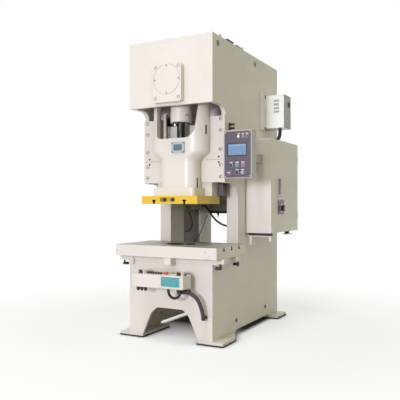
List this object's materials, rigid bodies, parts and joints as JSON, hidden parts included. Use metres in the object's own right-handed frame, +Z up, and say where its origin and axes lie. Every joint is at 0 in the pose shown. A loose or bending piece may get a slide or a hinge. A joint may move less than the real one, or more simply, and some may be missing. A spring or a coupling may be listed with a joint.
{
  "type": "mechanical stamping press",
  "caption": "Gap-frame crank press with a guided slide, T-slotted bolster, two-hand console, operator panel, side cabinet and belt-driven flywheel.",
  "frame": {"origin": "on the floor, under the middle of the crown's front plate", "axes": "+Y from the operator towards the back, +X to the operator's right, +Z up"},
  "size_m": [1.412, 2.211, 3.057],
  "materials": {
    "cream_paint": "smooth warm white machine enamel",
    "olive_paint": "the same enamel on inner and shaded plates",
    "bolster_steel": "ground plate with light tool marks",
    "yellow_paint": "safety yellow enamel",
    "dark_steel": "blackened fasteners and small steel parts",
    "machined_steel": "machined and lightly oiled",
    "gear_iron": "dark cast iron, oiled teeth",
    "bronze": "bearing bronze",
    "black_rubber": "matt black rubber",
    "black_plastic": "matt black plastic",
    "teal_plate": "satin teal plate",
    "panel_purple": "dark purple face plate",
    "panel_shell": "pale lavender-grey enamel",
    "screen": "pale display",
    "cabinet_paint": "cream sheet-steel enamel",
    "red_plastic": "red mushroom cap",
    "blue_plastic": "blue-green push button",
    "green_plastic": "dark green palm button"
  },
  "bodies": {
    "frame": {"frame_side_right": "cream_paint", "frame_side_left": "cream_paint", "feet": "cream_paint", "throat_posts": "cream_paint", "slide_guides": "cream_paint", "crown_front_plate": "cream_paint", "crown_top_plate": "cream_paint", "crown_bearing_walls": "cream_paint", "rear_plate": "olive_paint", "base_front_plate": "cream_paint", "base_rear_plate": "cream_paint", "bed_plate": "cream_paint", "levelling_pads": "dark_steel", "bolster": "bolster_steel", "clamp_blocks": "dark_steel", "gib_plates": "bolster_steel", "socket_screws": "dark_steel", "shaft_bushes": "bronze", "drive_belts": "black_rubber", "motor_body": "olive_paint", "belt_guard": "olive_paint", "bearing_cover": "cream_paint", "lifting_eyes": "dark_steel", "lube_block": "dark_steel", "console_box": "cream_paint", "console_plate": "teal_plate", "console_switches": "black_plastic", "panel_box": "panel_shell", "panel_face": "panel_purple", "panel_screen": "screen", "cabinet_body": "cabinet_paint", "cabinet_mounts": "dark_steel", "drive_box": "cream_paint", "wiring_box": "cream_paint", "cable_glands": "black_plastic", "hoses": "black_rubber"},
    "slide": {"slide_casting": "cream_paint", "slide_tool_plate": "yellow_paint", "shank_clamp_screws": "dark_steel", "height_adjust_drive": "machined_steel"},
    "crank": {"crankshaft": "machined_steel", "main_gear": "gear_iron"},
    "rod": {"connecting_rod": "machined_steel", "rod_cap": "machined_steel", "adjusting_screw": "machined_steel"},
    "pinion": {"pinion_shaft": "machined_steel", "flywheel": "gear_iron", "clutch_brake": "gear_iron"},
    "motor": {"motor_rotor": "gear_iron"},
    "door": {"cabinet_door": "cabinet_paint"},
    "handle": {"door_handle": "black_plastic"},
    "main_switch": {"main_switch_knob": "black_plastic"},
    "palm_left": {"palm_button_left": "green_plastic"},
    "palm_right": {"palm_button_right": "green_plastic"},
    "stop": {"stop_button": "red_plastic"},
    "push_dark": {"panel_button_dark": "black_plastic"},
    "push_blue": {"panel_button_blue": "blue_plastic"},
    "push_red": {"panel_button_red": "red_plastic"},
    "selector": {"selector_knob": "black_plastic"},
    "key": {"key_switch": "dark_steel"}
  },
  "joints": [
    {"name": "crank_turn", "type": "hinge", "parent": "frame", "child": "crank", "pos_m": [0, 0.3, 2.59], "axis": [0, 1, 0], "continuous": true},
    {"name": "rod_swing", "type": "hinge", "parent": "crank", "child": "rod", "pos_m": [0, 0.229, 2.67], "axis": [0, 1, 0], "continuous": true},
    {"name": "pinion_turn", "type": "hinge", "parent": "frame", "child": "pinion", "pos_m": [0, 0.7, 2.15], "axis": [0, 1, 0], "continuous": true},
    {"name": "motor_turn", "type": "hinge", "parent": "frame", "child": "motor", "pos_m": [0, 1.6, 1.51], "axis": [0, 1, 0], "continuous": true},
    {"name": "slide_stroke", "type": "slide", "parent": "frame", "child": "slide", "axis": [0, 0, -1], "range_m": [0, 0.16]},
    {"name": "door_swing", "type": "hinge", "parent": "frame", "child": "door", "pos_m": [0.764, 1.69, 1.553], "axis": [0, 0, 1], "range_deg": [0, 110]},
    {"name": "handle_turn", "type": "hinge", "parent": "door", "child": "handle", "pos_m": [0.77, 1.046, 1.5505], "axis": [1, 0, 0], "range_deg": [0, 90]},
    {"name": "main_switch_turn", "type": "hinge", "parent": "door", "child": "main_switch", "pos_m": [0.77, 1.1, 1.313], "axis": [1, 0, 0], "range_deg": [0, 90]},
    {"name": "palm_left_press", "type": "slide", "parent": "frame", "child": "palm_left", "axis": [0, 0, -1], "range_m": [0, 0.006], "stiffness_N_per_m": 800, "springref_m": -0.004},
    {"name": "palm_right_press", "type": "slide", "parent": "frame", "child": "palm_right", "axis": [0, 0, -1], "range_m": [0, 0.006], "stiffness_N_per_m": 800, "springref_m": -0.004},
    {"name": "stop_press", "type": "slide", "parent": "frame", "child": "stop", "axis": [0, 0, -1], "range_m": [0, 0.005]},
    {"name": "push_dark_press", "type": "slide", "parent": "frame", "child": "push_dark", "axis": [0, 1, 0], "range_m": [0, 0.004], "stiffness_N_per_m": 600, "springref_m": -0.001},
    {"name": "push_blue_press", "type": "slide", "parent": "frame", "child": "push_blue", "axis": [0, 1, 0], "range_m": [0, 0.004], "stiffness_N_per_m": 600, "springref_m": -0.001},
    {"name": "push_red_press", "type": "slide", "parent": "frame", "child": "push_red", "axis": [0, 1, 0], "range_m": [0, 0.004], "stiffness_N_per_m": 600, "springref_m": -0.001},
    {"name": "selector_turn", "type": "hinge", "parent": "frame", "child": "selector", "pos_m": [0.628, 0.236, 1.667], "axis": [0, 1, 0], "range_deg": [-45, 45]},
    {"name": "key_turn", "type": "hinge", "parent": "frame", "child": "key", "pos_m": [0.688, 0.236, 1.667], "axis": [0, 1, 0], "range_deg": [0, 90]}
  ],
  "couplings": [
    {"joint": "rod_swing", "follows": "crank_turn", "ratio": -1},
    {"joint": "pinion_turn", "follows": "crank_turn", "ratio": -4.5},
    {"joint": "motor_turn", "follows": "crank_turn", "ratio": -18}
  ]
}
